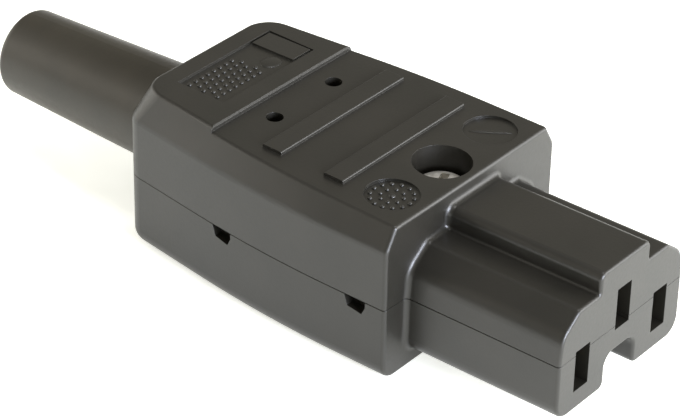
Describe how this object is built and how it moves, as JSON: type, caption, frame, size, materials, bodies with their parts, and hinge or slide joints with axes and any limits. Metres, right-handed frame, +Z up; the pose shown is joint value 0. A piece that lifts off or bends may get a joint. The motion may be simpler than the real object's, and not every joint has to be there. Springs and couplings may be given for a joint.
{
  "type": "rewireable appliance connector",
  "caption": "Rewireable appliance connector: a keyed socket nose on a split moulded case closed by a screw, with screw terminals and a cord clamp inside and a bend sleeve behind.",
  "frame": {"origin": "under the middle of the whole connector, on the plane it rests on", "axes": "+X out of the socket nose along the cord's line, +Z up from the lower half to the screw head"},
  "size_m": [0.0848, 0.0294, 0.0199],
  "materials": {
    "shell_plastic": "fine moulded grain, satin black thermoset",
    "sleeve_rubber": "smooth matt moulded rubber",
    "plated_steel": "bright nickel plating",
    "contact_brass": "folded brass sheet",
    "spring_steel": "plain spring steel strip",
    "clamp_plastic": "moulded black plastic"
  },
  "bodies": {
    "lower_case": {"lower_shell": "shell_plastic", "case_nut": "plated_steel", "bend_sleeve": "sleeve_rubber", "left_contact": "contact_brass", "right_contact": "contact_brass", "earth_contact": "contact_brass", "left_contact_spring": "spring_steel", "right_contact_spring": "spring_steel", "earth_contact_spring": "spring_steel"},
    "upper_case": {"upper_shell": "shell_plastic"},
    "case_screw": {"case_screw": "plated_steel"},
    "left_wire_plate": {"left_wire_plate": "contact_brass"},
    "left_terminal_screw": {"left_terminal_screw": "plated_steel"},
    "right_wire_plate": {"right_wire_plate": "contact_brass"},
    "right_terminal_screw": {"right_terminal_screw": "plated_steel"},
    "earth_wire_plate": {"earth_wire_plate": "contact_brass"},
    "earth_terminal_screw": {"earth_terminal_screw": "plated_steel"},
    "cord_clamp_bar": {"cord_clamp_bar": "clamp_plastic"},
    "cord_clamp_screw_left": {"cord_clamp_screw_left": "plated_steel"},
    "cord_clamp_screw_right": {"cord_clamp_screw_right": "plated_steel"}
  },
  "joints": [
    {"name": "case_lift", "type": "slide", "parent": "lower_case", "child": "upper_case", "axis": [0, 0, 1], "range_m": [0, 0.03]},
    {"name": "case_screw_turn", "type": "hinge", "parent": "upper_case", "child": "case_screw", "pos_m": [0.01869, 0, 0.0143], "axis": [0, 0, 1], "continuous": true},
    {"name": "left_plate_lift", "type": "slide", "parent": "lower_case", "child": "left_wire_plate", "axis": [0, 0, 1], "range_m": [0, 0.0012]},
    {"name": "left_terminal_turn", "type": "hinge", "parent": "left_wire_plate", "child": "left_terminal_screw", "pos_m": [0.0146, 0.0077, 0.006], "axis": [0, 0, 1], "range_deg": [0, 870]},
    {"name": "right_plate_lift", "type": "slide", "parent": "lower_case", "child": "right_wire_plate", "axis": [0, 0, 1], "range_m": [0, 0.0012]},
    {"name": "right_terminal_turn", "type": "hinge", "parent": "right_wire_plate", "child": "right_terminal_screw", "pos_m": [0.0146, -0.0077, 0.006], "axis": [0, 0, 1], "range_deg": [0, 870]},
    {"name": "earth_plate_lift", "type": "slide", "parent": "lower_case", "child": "earth_wire_plate", "axis": [0, 0, 1], "range_m": [0, 0.0012]},
    {"name": "earth_terminal_turn", "type": "hinge", "parent": "earth_wire_plate", "child": "earth_terminal_screw", "pos_m": [0.0075, 0, 0.006], "axis": [0, 0, 1], "range_deg": [0, 870]},
    {"name": "clamp_bar_lift", "type": "slide", "parent": "lower_case", "child": "cord_clamp_bar", "axis": [0, 0, 1], "range_m": [0, 0.0014]},
    {"name": "clamp_screw_left_turn", "type": "hinge", "parent": "cord_clamp_bar", "child": "cord_clamp_screw_left", "pos_m": [-0.00015, 0.00499, 0.0134], "axis": [0, 0, 1], "range_deg": [0, 465]},
    {"name": "clamp_screw_right_turn", "type": "hinge", "parent": "cord_clamp_bar", "child": "cord_clamp_screw_right", "pos_m": [-0.00015, -0.00499, 0.0134], "axis": [0, 0, 1], "range_deg": [0, 465]}
  ],
  "couplings": [
    {"joint": "left_terminal_turn", "follows": "left_plate_lift", "rad_per_m": 12566},
    {"joint": "right_terminal_turn", "follows": "right_plate_lift", "rad_per_m": 12566},
    {"joint": "earth_terminal_turn", "follows": "earth_plate_lift", "rad_per_m": 12566},
    {"joint": "clamp_screw_left_turn", "follows": "clamp_bar_lift", "rad_per_m": 5712},
    {"joint": "clamp_screw_right_turn", "follows": "clamp_bar_lift", "rad_per_m": 5712}
  ]
}
